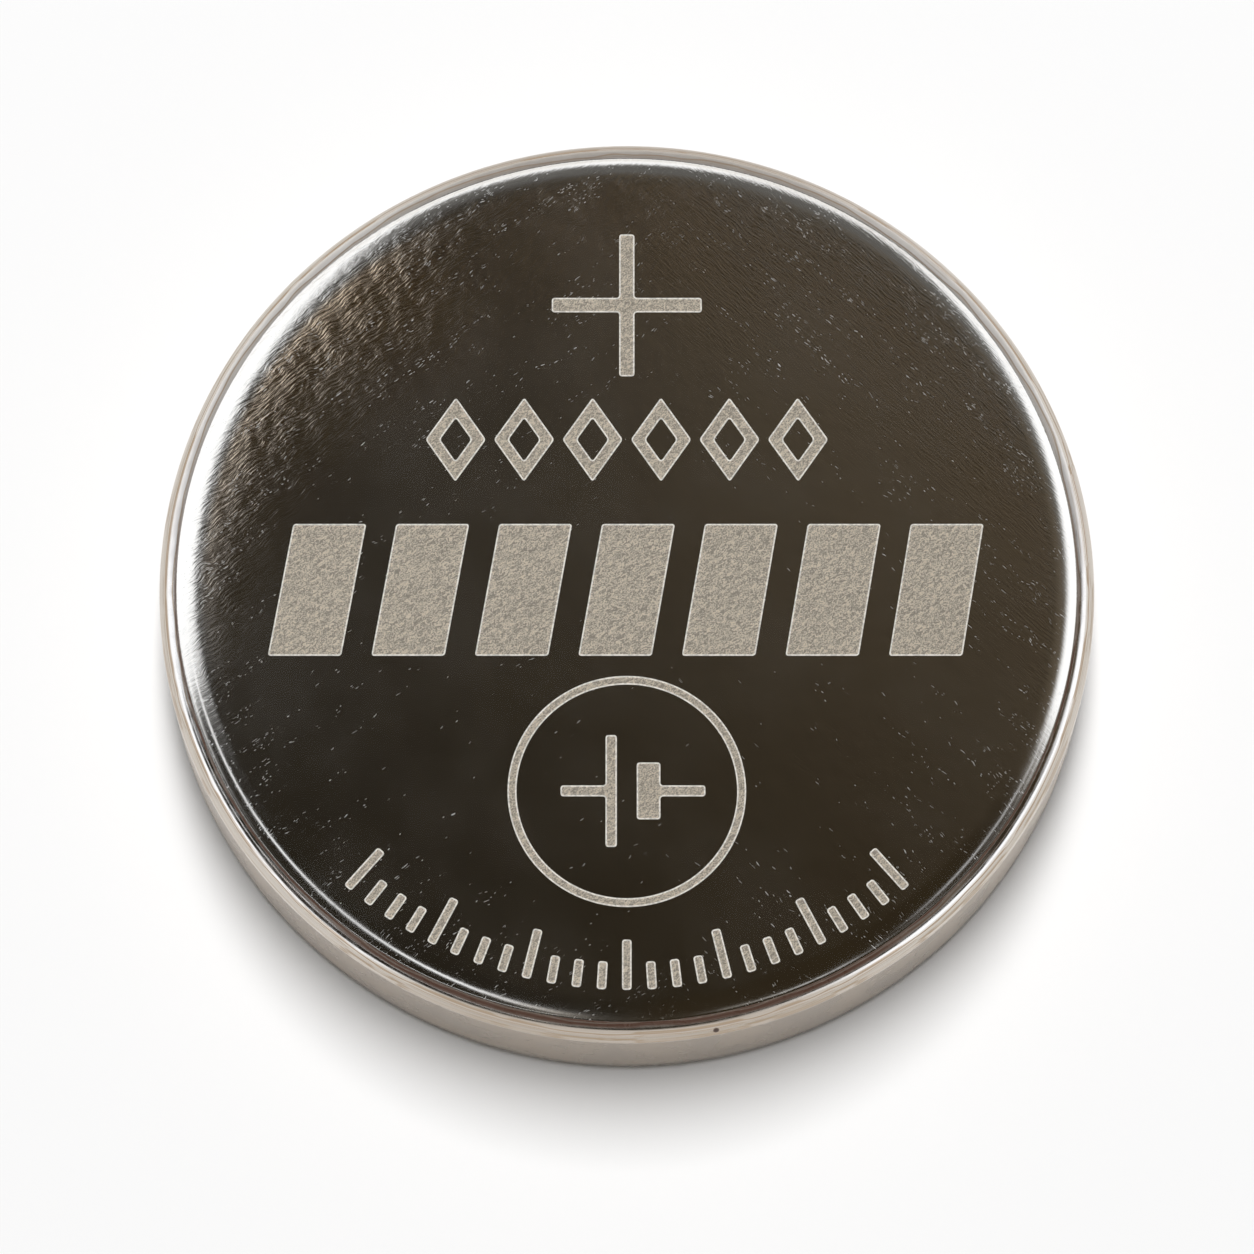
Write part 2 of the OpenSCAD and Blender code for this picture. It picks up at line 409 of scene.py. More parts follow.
def disc_at(height, up):
    """A test for the one large round face at that height that looks up or down."""
    def test(face):
        return (
            len(face.verts) == SIDES
            and abs(face.calc_center_median().z - height) < NEAR
            and (face.normal.z > 0) == up
        )
    return test


def round_edge(radius, height, rounding, segments):
    """Rounds the circular edge of that radius and height."""
    choose("EDGE", on_ring(radius, height))
    bpy.ops.mesh.bevel(offset=rounding, segments=segments, profile=0.5, affect="EDGES", clamp_overlap=False)


def extrude(x=0.0, y=0.0, z=0.0):
    """Extrudes what is selected and moves the new part."""
    bpy.ops.mesh.extrude_region_move(TRANSFORM_OT_translate={"value": (x, y, z)})


def divide_face():
    """Divides the selected round face into rings and, in the middle, a fan."""
    for width in FACE_RINGS:
        bpy.ops.mesh.inset(thickness=width)
    bpy.ops.mesh.poke()


def apply_modifier(piece, kind, **settings):
    """Adds a modifier of that kind to the piece and applies it."""
    modifier = piece.modifiers.new(kind.lower(), kind)
    for name, value in settings.items():
        setattr(modifier, name, value)
    bpy.ops.object.modifier_apply(modifier=modifier.name)


def alone(piece):
    """Leaves edit mode with only the piece selected and active."""
    if bpy.context.mode != "OBJECT":
        bpy.ops.object.mode_set(mode="OBJECT")
    bpy.ops.object.select_all(action="DESELECT")
    piece.select_set(True)
    bpy.context.view_layer.objects.active = piece


def thicken(piece, sheet):
    """Gives an open shell its wall, grown inwards."""
    alone(piece)
    apply_modifier(
        piece, "SOLIDIFY", thickness=sheet, offset=-1, use_even_offset=True, use_quality_normals=True
    )
    bpy.ops.object.mode_set(mode="EDIT")


def close_up(piece):
    """Smooths a finished piece and hangs it on the frame."""
    alone(piece)
    bpy.ops.object.shade_smooth_by_angle(angle=SMOOTH_BEND)
    apply_modifier(piece, "WEIGHTED_NORMAL", mode="FACE_AREA", keep_sharp=True)
    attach(piece, "root")


# Node helpers

def connect(tree, socket, value):
    """Links a socket to another one, or sets it to a number, a vector or a plain colour."""
    if isinstance(value, bpy.types.NodeSocket):
        tree.links.new(value, socket)
    elif socket.type == "RGBA":
        socket.default_value = (*value, 1)
    else:
        socket.default_value = value


def add_node(tree, kind, inputs=None, **settings):
    """A new node. settings are its own properties, and inputs are sockets to link or values to set."""
    made = tree.nodes.new(kind)
    for name, value in settings.items():
        setattr(made, name, value)
    for key, value in (inputs or {}).items():
        connect(tree, made.inputs[key], value)
    return made


def calculate(tree, operation, *values):
    """The result of a calculation on one to three sockets or numbers."""
    return add_node(tree, "ShaderNodeMath", dict(enumerate(values)), operation=operation).outputs[0]


def multiply(tree, first, *others):
    """The product of sockets or numbers."""
    for other in others:
        first = calculate(tree, "MULTIPLY", first, other)
    return first


def multiply_add(tree, value, factor, base):
    """value times factor, plus base."""
    return calculate(tree, "MULTIPLY_ADD", value, factor, base)


def on_vectors(tree, operation, inputs):
    """A node that calculates with vectors."""
    return add_node(tree, "ShaderNodeVectorMath", inputs, operation=operation)


def split(tree, vector):
    """The three parts of a vector."""
    return add_node(tree, "ShaderNodeSeparateXYZ", {0: vector}).outputs


def fade(tree, value, low, high, to_low=0.0, to_high=1.0):
    """Turns a value that goes from low to high into one that goes smoothly from to_low to to_high."""
    inputs = {"Value": value, "From Min": low, "From Max": high, "To Min": to_low, "To Max": to_high}
    return add_node(tree, "ShaderNodeMapRange", inputs, interpolation_type="SMOOTHSTEP").outputs[0]


def blend_colour(tree, share, first, second):
    """A mix of two colours, each a socket or a plain colour."""
    return add_node(tree, "ShaderNodeMix", {0: share, 6: first, 7: second}, data_type="RGBA").outputs[2]


def shade(colour_value, factor):
    """A plain colour made that many times as bright."""
    return tuple(channel * factor for channel in colour_value)


def turn_and_stretch(tree, place, turn, stretch):
    """A place turned about the cell's axis and then stretched."""
    turned = add_node(tree, "ShaderNodeMapping", {"Vector": place, "Rotation": (0, 0, -turn)}).outputs[0]
    return add_node(tree, "ShaderNodeMapping", {"Vector": turned, "Scale": stretch}).outputs[0]


def millimetres(tree, turn=0.0, stretch=(1, 1, 1)):
    """Object coordinates in millimetres, turned about the cell's axis and then stretched."""
    place = add_node(tree, "ShaderNodeTexCoord").outputs["Object"]
    scaled = add_node(tree, "ShaderNodeMapping", {"Vector": place, "Scale": (1 / MM,) * 3}).outputs[0]
    return turn_and_stretch(tree, scaled, turn, stretch)


def wavering(tree, reach):
    """Object coordinates in millimetres, bent to and fro by that many millimetres."""
    place = millimetres(tree)
    inputs = {"Vector": place, "Scale": BENDS_PER_MM, "Detail": 1.0}
    sway = add_node(tree, "ShaderNodeTexNoise", inputs, noise_dimensions="2D").outputs["Color"]
    sway = on_vectors(tree, "SUBTRACT", {0: sway, 1: (0.5,) * 3}).outputs[0]
    sway = on_vectors(tree, "SCALE", {0: sway, "Scale": reach}).outputs[0]
    return on_vectors(tree, "ADD", {0: place, 1: sway}).outputs[0]


def noise(tree, place=None, scale=1.0, detail=2.0, roughness=0.5, distortion=0.0, flat=False):
    """A noise value from 0 to 1, at a place in millimetres. A flat one is the same at every height."""
    if place is None:
        place = millimetres(tree)
    inputs = {
        "Vector": place, "Scale": scale, "Detail": detail, "Roughness": roughness, "Distortion": distortion,
    }
    sides = "2D" if flat else "3D"
    return add_node(tree, "ShaderNodeTexNoise", inputs, noise_dimensions=sides).outputs[0]


def from_axis(tree):
    """Distance from the cell's axis in millimetres."""
    flat = on_vectors(tree, "MULTIPLY", {0: millimetres(tree), 1: (1, 1, 0)}).outputs[0]
    return on_vectors(tree, "LENGTH", {0: flat}).outputs["Value"]


def distance_to(tree, place):
    """Distance in metres from a place on the cell."""
    here = add_node(tree, "ShaderNodeTexCoord").outputs["Object"]
    return on_vectors(tree, "DISTANCE", {0: here, 1: tuple(place)}).outputs["Value"]


def ring_line(tree, radius, middle, width):
    """A mask of a line round the cell. radius is in millimetres, the line's middle and width in metres."""
    offset = calculate(tree, "ABSOLUTE", calculate(tree, "SUBTRACT", radius, middle / MM))
    return fade(tree, offset, width / MM * 0.7, width / MM * 0.3)


def sector(tree, x, y, radius, middle, reach):
    """A mask of the part of the face that lies about the direction middle, soft over reach, both angles."""
    along = multiply_add(tree, y, math.sin(middle), multiply(tree, x, math.cos(middle)))
    return fade(tree, calculate(tree, "DIVIDE", along, radius), math.cos(reach), math.cos(reach / 3))


def cell_pattern(tree, place, scale, sides, edge, middle):
    """One dot in each cell of a pattern, and the three random numbers of its cell."""
    inputs = {"Vector": place, "Scale": scale}
    cells = add_node(tree, "ShaderNodeTexVoronoi", inputs, voronoi_dimensions=sides)
    chance = add_node(tree, "ShaderNodeSeparateColor", {0: cells.outputs["Color"]}).outputs
    return fade(tree, cells.outputs["Distance"], edge, middle), chance


def flecks(tree, place, turn, length, width, rare):
    """Short flecks of uneven brightness that lie in trails. The higher rare is, the fewer."""
    stretched = turn_and_stretch(tree, place, turn, (1 / length, 1 / width, 1))
    dots, chance = cell_pattern(tree, stretched, FLECK_CELLS, "2D", *FLECK_DOT)
    kept = calculate(tree, "GREATER_THAN", chance[0], rare)
    glint = calculate(tree, "POWER", chance[1], FLECK_CONTRAST)
    trails = noise(tree, turn_and_stretch(tree, place, turn, TRAIL_STRETCH), detail=3, flat=True)
    trails = fade(tree, trails, *TRAIL_EDGE)
    return multiply(tree, multiply(tree, dots, kept), multiply(tree, glint, trails))


def specks(tree, spacing, radius, share):
    """A mask of small dots, in a share of the cells of that spacing."""
    edge = radius / spacing
    dots, chance = cell_pattern(tree, millimetres(tree), 1 / spacing, "3D", edge, 0.4 * edge)
    return multiply(tree, dots, calculate(tree, "GREATER_THAN", chance[0], 1 - share))


def hairlines(tree, turn, length, width, sparse, patches):
    """A mask of short fine scratches that run in one direction."""
    stretched = millimetres(tree, turn, (1 / length, 1 / width, 1))
    lines = fade(tree, noise(tree, stretched, detail=1.5, distortion=0.15), sparse, sparse + 0.05)
    there = fade(tree, noise(tree, millimetres(tree, turn + 1), scale=patches), 0.48, 0.62)
    return multiply(tree, lines, there)


def bump(tree, height, microns):
    """A normal from a height pattern whose range is that many microns."""
    inputs = {"Height": height, "Distance": microns * MM * MM, "Strength": 1.0}
    return add_node(tree, "ShaderNodeBump", inputs).outputs[0]


def new_material(name):
    """A material with only its Principled shader and output."""
    material = bpy.data.materials.new(name)
    material.use_nodes = True
    tree = material.node_tree
    tree.nodes.clear()
    shader = add_node(tree, "ShaderNodeBsdfPrincipled")
    add_node(tree, "ShaderNodeOutputMaterial", {"Surface": shader.outputs[0]})
    return material, tree, shader


def set_sockets(tree, shader, values):
    """Links or sets the shader's sockets."""
    for name, value in values.items():
        connect(tree, shader.inputs[name], value)


def set_two_tone(tree, shader, pattern, band, colours, roughness, microns, metallic=0.0):
    """Finishes a surface with a pattern that is also its bump, from one colour to the other over band."""
    set_sockets(tree, shader, {
        "Base Color": blend_colour(tree, fade(tree, pattern, *band), *colours),
        "Metallic": metallic,
        "Roughness": roughness,
        "Normal": bump(tree, pattern, microns),
    })


# Materials

def polished_nickel(finishes):
    """The positive face: mirror-like, with brushing that grows towards the rim and fine bright flecks."""
    material, tree, shader = new_material("polished_nickel")
    x, y, z = split(tree, millimetres(tree))
    radius = from_axis(tree)
    # The radius, with the back of the face counted as further out
    upper = multiply_add(tree, y, finishes.brush_lean, radius)
    brushed = fade(tree, upper, *BRUSH_GROWS)
    left_part, right_part = (
        sector(tree, x, y, radius, middle, finishes.brush_sector)
        for middle in (finishes.brush_left, finishes.brush_right)
    )
    on_right = fade(tree, x, *TO_RIGHT)
    on_left = calculate(tree, "SUBTRACT", 1.0, on_right)
    bent = wavering(tree, LEFT_SWAY)
    left = turn_and_stretch(tree, bent, finishes.brush_turn, LEFT_BRUSH)
    right = turn_and_stretch(tree, wavering(tree, RIGHT_SWAY), finishes.brush_turn_right, RIGHT_BRUSH)
    left, right = (noise(tree, place, detail=3, roughness=0.6, flat=True) for place in (left, right))
    grain = add_node(tree, "ShaderNodeMix", {0: on_right, 2: left, 3: right}).outputs[0]
    depth = multiply_add(tree, right_part, finishes.brush_depth_right, finishes.brush_depth)
    depth = multiply_add(tree, left_part, finishes.brush_depth_left, depth)
    depth = multiply_add(tree, brushed, depth, 0.5)
    depth = multiply(
        tree, depth, fade(tree, radius, *BRUSH_SWELLS, to_low=1.0, to_high=1.45),
        fade(tree, radius, *BRUSH_CALMS, to_low=1.0, to_high=0.35),
    )
    ripple = noise(tree, scale=2.2, flat=True)
    height = multiply_add(tree, ripple, 1.2, multiply(tree, grain, depth))
    rare = fade(tree, upper, *FLECKS_GROW, *EMPTY_CELLS)
    rare = calculate(tree, "ADD", rare, fade(tree, radius, *RIM_FLECKS, to_high=-0.2))
    damage = 0.0
    for side, turn in ((on_left, finishes.brush_turn), (on_right, finishes.brush_turn_right)):
        for length in (finishes.fleck_length, finishes.fleck_length * SHORT_FLECK):
            found = flecks(tree, bent, turn, length / MM, finishes.fleck_width / MM, rare)
            damage = calculate(tree, "MAXIMUM", damage, multiply(tree, side, found))
    tan = multiply(
        tree, brushed, fade(tree, radius, *TAN_ENDS), fade(tree, left_part, 0.0, 1.0, 0.35, 1.0)
    )
    haze = multiply(
        tree, left_part, fade(tree, radius, *HAZE_GROWS, to_high=0.09), fade(tree, radius, *HAZE_ENDS)
    )
    cloud = noise(tree, scale=0.35, detail=3, flat=True)
    smooth = finishes.face_roughness
    plain = calculate(tree, "ADD", fade(tree, cloud, *MIDDLE, smooth * 0.85, smooth * 1.2), haze)
    metal = blend_colour(tree, tan, finishes.steel, finishes.steel_brushed)
    set_sockets(tree, shader, {
        "Base Color": blend_colour(tree, damage, metal, finishes.steel_worn),
        "Metallic": 1.0,
        "Roughness": multiply_add(tree, damage, 0.42, plain),
        "Normal": bump(tree, height, 1.0),
    })
    return material


def rolled_nickel(finishes):
    """The can's corner: polished by the tool, with lines round it whose tan and pale colours are painted
    reflection bands, painted shade in the crease and on the corner in front, and a dark nick.
    """
    material, tree, shader = new_material("rolled_nickel")
    x, y, z = split(tree, millimetres(tree))
    radius = from_axis(tree)
    at_back, in_front = fade(tree, y, *BACK_HALF), fade(tree, y, *FRONT_EDGE)
    # The lines, from the rolling, follow the corner's section all the way round, and waver a little. Their
    # tan and pale colours are painted reflection bands
    along = multiply_add(tree, noise(tree, scale=0.5), 0.25, radius)
    around = add_node(tree, "ShaderNodeCombineXYZ", {0: along, 1: z, 2: 0.0}).outputs[0]
    lines = noise(tree, around, scale=12, detail=3, roughness=0.7)
    streaks = noise(tree, around, scale=22)
    # Painted highlight: the pale lines are brighter at the cell's two sides
    beside = fade(tree, calculate(tree, "ABSOLUTE", x), *TO_SIDES)
    pale = blend_colour(tree, beside, finishes.steel_pale, finishes.steel_side_highlight)
    tinted = blend_colour(tree, fade(tree, lines, 0.38, 0.50), finishes.steel_tan, pale)
    # Painted shade: a dark line in the crease, faint at the back, and a thin dark line on the corner in
    # front; the nick is a dark dull spot
    rough_edge = multiply_add(tree, noise(tree, scale=16), 0.03, radius)
    shade_and_nick = ring_line(tree, rough_edge, finishes.crease_radius, finishes.crease_width)
    shade_and_nick = multiply(tree, shade_and_nick, fade(tree, at_back, 0.0, 1.0, 1.0, 0.15))
    painted_dark = ring_line(tree, rough_edge, finishes.dark_line_radius, finishes.dark_line_width)
    shade_and_nick = calculate(tree, "MAXIMUM", shade_and_nick, multiply(tree, painted_dark, in_front))
    shade_and_nick = multiply(tree, shade_and_nick, fade(tree, streaks, 0.62, 0.45, 0.35, 1.0))
    nick = distance_to(tree, finishes.nick_place)
    nick = fade(tree, nick, finishes.nick_radius, finishes.nick_radius * 0.5)
    shade_and_nick = calculate(tree, "MAXIMUM", shade_and_nick, nick)
    worn_land = multiply(tree, ring_line(tree, radius, finishes.land_radius, finishes.land_width), at_back)
    sheen = noise(tree, scale=3, detail=3)
    plain = multiply_add(tree, shade_and_nick, 0.15, fade(tree, sheen, *MIDDLE, 0.10, 0.20))
    # Painted shade: the dark lines and the nick turn dark, dull and barely metallic
    set_sockets(tree, shader, {
        "Base Color": blend_colour(tree, shade_and_nick, tinted, finishes.shade_and_nick_colour),
        "Metallic": multiply_add(tree, shade_and_nick, -0.9, 1.0),
        "Roughness": multiply_add(tree, worn_land, 0.5, plain),
        "Normal": bump(tree, multiply_add(tree, sheen, 0.6, lines), 1.2),
    })
    return material


def drawn_nickel(finishes):
    """The can's wall and curled edge: satin, softly mottled, with faint marks from the drawing die and
    painted shade at the wall's foot.
    """
    material, tree, shader = new_material("drawn_nickel")
    mottle = noise(tree, scale=0.9, detail=3)
    lines = noise(tree, millimetres(tree, stretch=(9, 9, 0.6)), detail=3, roughness=0.6)
    bands = noise(tree, millimetres(tree, stretch=(0.25, 0.25, 9)), detail=3, roughness=0.6)
    pits = fade(tree, noise(tree, millimetres(tree, stretch=(7, 7, 12))), 0.68, 0.74)
    dark = shade(finishes.steel_wall, 0.86)
    plain = blend_colour(tree, fade(tree, mottle, *MIDDLE), dark, finishes.steel_wall)
    # Painted shade darkens the wall's foot near the floor, and the curled edge underneath keeps the plain
    # nickel
    above = split(tree, millimetres(tree))[2]
    plain = blend_colour(tree, fade(tree, above, *WALL_FOOT_SHADE), plain, shade(finishes.steel_tan, 0.5))
    plain = blend_colour(tree, fade(tree, above, *UNDERNEATH), plain, finishes.steel)
    rough = finishes.wall_roughness
    set_sockets(tree, shader, {
        "Base Color": blend_colour(tree, pits, plain, shade(finishes.steel_tan, 0.6)),
        "Metallic": 1.0,
        "Roughness": fade(tree, mottle, *MIDDLE, rough * 0.9, rough * 1.15),
        "Normal": bump(tree, multiply_add(tree, mottle, 1.0, calculate(tree, "ADD", lines, bands)), 0.9),
    })
    return material


def etched_nickel(finishes):
    """The frosted marks: a fibrous texture of light and dark threads."""
    material, tree, shader = new_material("etched_nickel")
    threads = noise(tree, millimetres(tree, turn=0.6, stretch=(8, 17, 1)), distortion=1.2, flat=True)
    grains = noise(tree, scale=30, detail=1, flat=True)
    pattern = multiply_add(tree, grains, 0.4, multiply(tree, threads, 0.6))
    colours = finishes.etched_dark, finishes.etched_light
    set_two_tone(tree, shader, pattern, (0.36, 0.64), colours, roughness=0.52, microns=8, metallic=0.85)
    return material


def etched_edge(finishes):
    """The bright line round the frosted marks."""
    material, tree, shader = new_material("etched_edge")
    grains = noise(tree, scale=14)
    colours = shade(finishes.etched_line, 0.7), finishes.etched_line
    set_two_tone(tree, shader, grains, (0.35, 0.6), colours, roughness=0.42, microns=3, metallic=0.2)
    return material


def satin_cap(finishes):
    """The negative cap: satin steel with a fine grain and scuffs."""
    material, tree, shader = new_material("satin_cap_steel")
    grain = noise(tree, millimetres(tree, turn=0.3, stretch=(2.2, 16, 1)), detail=3, roughness=0.6)
    stipple = noise(tree, scale=18)
    scuffs = hairlines(tree, turn=1.1, length=1.4, width=0.05, sparse=0.66, patches=0.6)
    crossing = hairlines(tree, turn=-0.5, length=1.0, width=0.04, sparse=0.68, patches=0.8)
    scuffs = calculate(tree, "MAXIMUM", scuffs, crossing)
    cloud = noise(tree, scale=0.4, detail=3)
    height = multiply_add(tree, scuffs, -0.6, multiply_add(tree, stipple, 0.7, grain))
    set_sockets(tree, shader, {
        "Base Color": blend_colour(tree, scuffs, finishes.cap_steel, shade(finishes.cap_steel, 1.25)),
        "Metallic": 1.0,
        "Roughness": fade(tree, cloud, *MIDDLE, 0.30, 0.40),
        "Normal": bump(tree, height, 2.2),
    })
    return material


def moulded_plastic(finishes):
    """The gasket: dark polypropylene with a dull moulded skin."""
    material, tree, shader = new_material("gasket_polypropylene")
    skin = noise(tree, scale=12, detail=3)
    colours = finishes.gasket, shade(finishes.gasket, 1.8)
    roughness = fade(tree, skin, *MIDDLE, 0.38, 0.52)
    set_two_tone(tree, shader, skin, MIDDLE, colours, roughness, microns=4)
    return material


def lithium_foil(finishes):
    """The lithium disc: soft silvery metal with rolled lines and dull patches."""
    material, tree, shader = new_material("lithium_foil")
    rolled = noise(tree, millimetres(tree, stretch=(0.5, 9, 1)), detail=3)
    dull = fade(tree, noise(tree, scale=0.7, detail=4), 0.42, 0.62)
    set_sockets(tree, shader, {
        "Base Color": blend_colour(tree, dull, finishes.lithium, finishes.lithium_dull),
        "Metallic": 0.9,
        "Roughness": fade(tree, dull, 0, 1, 0.34, 0.58),
        "Normal": bump(tree, rolled, 4.0),
    })
    return material


def separator_fleece(finishes):
    """The separator: a white fleece of crossing fibres."""
    material, tree, shader = new_material("separator_fleece")
    fibres, crossing = (
        noise(tree, millimetres(tree, turn, (2, 14, 1)), detail=3, roughness=0.6, distortion=1.0)
        for turn in (0.5, 2.1)
    )
    web = calculate(tree, "MAXIMUM", fibres, crossing)
    colours = shade(finishes.fleece, 0.8), finishes.fleece
    set_two_tone(tree, shader, web, (0.45, 0.65), colours, roughness=0.85, microns=14)
    return material


def pressed_powder(finishes):
    """The cathode pellet: black pressed powder with fine shining grains."""
    material, tree, shader = new_material("pressed_cathode_powder")
    grains = noise(tree, scale=14, detail=4, roughness=0.7)
    colours = finishes.cathode, shade(finishes.cathode, 2.5)
    glints = specks(tree, spacing=0.2, radius=0.03, share=0.2)
    roughness = multiply_add(tree, glints, -0.4, 0.8)
    set_two_tone(tree, shader, grains, (0.4, 0.65), colours, roughness, microns=18)
    return material


def mesh_metal(finishes):
    """The collector mesh: plain expanded steel."""
    material, tree, shader = new_material("expanded_steel")
    grain = noise(tree, millimetres(tree, stretch=(1.5, 12, 1)), detail=3)
    colours = shade(finishes.mesh_steel, 0.75), finishes.mesh_steel
    set_two_tone(tree, shader, grain, (0.35, 0.65), colours, roughness=0.36, microns=2, metallic=1.0)
    return material


# Pieces

class COINCELL_OT_positive_can(bpy.types.Operator):
    """Model the positive can with its rolled-down margin, its crease and its curled edge"""

    bl_idname = "coin_cell.positive_can"
    bl_label = "Positive can"

    def execute(self, context):
        sizes = context.scene.coin_cell.can
        land_z = sizes.height - sizes.roll_drop
        piece = begin(
            "can_shell", bpy.ops.mesh.primitive_cylinder_add, vertices=SIDES, radius=sizes.radius,
            depth=land_z - sizes.curl_rise, location=(0, 0, (land_z + sizes.curl_rise) / 2),
        )
        round_edge(sizes.radius, land_z, sizes.corner, CORNER_STEPS)
        round_edge(sizes.radius, sizes.curl_rise, sizes.curl, CURL_STEPS)
        self.roll_face(sizes, land_z)
        self.open_mouth(sizes)
        thicken(piece, sizes.sheet)
        mouth = sizes.radius - sizes.curl_reach
        for height in (sizes.curl_rise, sizes.curl_rise + sizes.sheet):
            round_edge(mouth, height, sizes.sheet * TIP_SHARE, TIP_STEPS)
        crease = sizes.radius - sizes.corner - sizes.land
        round_edge(crease, land_z, sizes.crease, CREASE_STEPS)
        self.paint(context, piece, sizes, land_z)
        close_up(piece)
        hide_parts("positive_can")
        return {"FINISHED"}

    def roll_face(self, sizes, land_z):
        """Sets the land in from the corner, and raises the face from the crease along its arc."""
        choose("FACE", disc_at(land_z, True))
        bpy.ops.mesh.inset(thickness=sizes.land)
        arc = (sizes.roll_width ** 2 + sizes.roll_drop ** 2) / (2 * sizes.roll_drop)
        heights = [
            math.sqrt(arc ** 2 - (sizes.roll_width * (1 - step / ROLL_STEPS)) ** 2)
            for step in range(ROLL_STEPS + 1)
        ]
        for below, above in zip(heights, heights[1:]):
            bpy.ops.mesh.inset(thickness=sizes.roll_width / ROLL_STEPS, depth=above - below)
        divide_face()

    def open_mouth(self, sizes):
        """Leaves only the curled lip of the bottom."""
        choose("FACE", disc_at(sizes.curl_rise, False))
        bpy.ops.mesh.inset(thickness=sizes.curl_reach - sizes.curl)
        bpy.ops.mesh.delete(type="FACE")

    def paint(self, context, piece, sizes, land_z):
        """Polished face, rolled corner and satin wall."""
        finishes = context.scene.coin_cell.finishes
        for material in (polished_nickel(finishes), rolled_nickel(finishes), drawn_nickel(finishes)):
            piece.data.materials.append(material)
        alone(piece)
        crease = sizes.radius - sizes.corner - sizes.land
        for face in piece.data.polygons:
            outside = face.normal.z > TILTED
            if outside and face.center.xy.length < crease and face.center.z > land_z:
                face.material_index = 0
            elif outside and face.center.z > land_z - sizes.corner:
                face.material_index = 1
            else:
                face.material_index = 2


class COINCELL_OT_negative_cap(bpy.types.Operator):
    """Model the negative cap with its step, shoulder and skirt"""

    bl_idname = "coin_cell.negative_cap"
    bl_label = "Negative cap"

    def execute(self, context):
        sizes = context.scene.coin_cell.cap
        piece = begin(
            "cap_shell", bpy.ops.mesh.primitive_cylinder_add, vertices=SIDES, radius=sizes.step_radius,
            depth=sizes.shoulder, location=(0, 0, sizes.shoulder / 2),
        )
        choose("FACE", disc_at(sizes.shoulder, True))
        widen = sizes.skirt_radius / sizes.step_radius
        bpy.ops.mesh.extrude_region_move()
        bpy.ops.transform.resize(value=(widen, widen, 1), center_override=(0, 0, sizes.shoulder))
        extrude(z=sizes.skirt_top - sizes.shoulder)
        bpy.ops.mesh.delete(type="FACE")
        choose("FACE", lambda face: True)
        bpy.ops.mesh.normals_make_consistent(inside=False)
        round_edge(sizes.step_radius, 0, sizes.edge, BEND_STEPS)
        round_edge(sizes.step_radius, sizes.shoulder, sizes.step_hollow, HOLLOW_STEPS)
        round_edge(sizes.skirt_radius, sizes.shoulder, sizes.bend, BEND_STEPS)
        choose("FACE", disc_at(0, False))
        divide_face()
        thicken(piece, sizes.sheet)
        piece.data.materials.append(satin_cap(context.scene.coin_cell.finishes))
        close_up(piece)
        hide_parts("negative_cap")
        return {"FINISHED"}


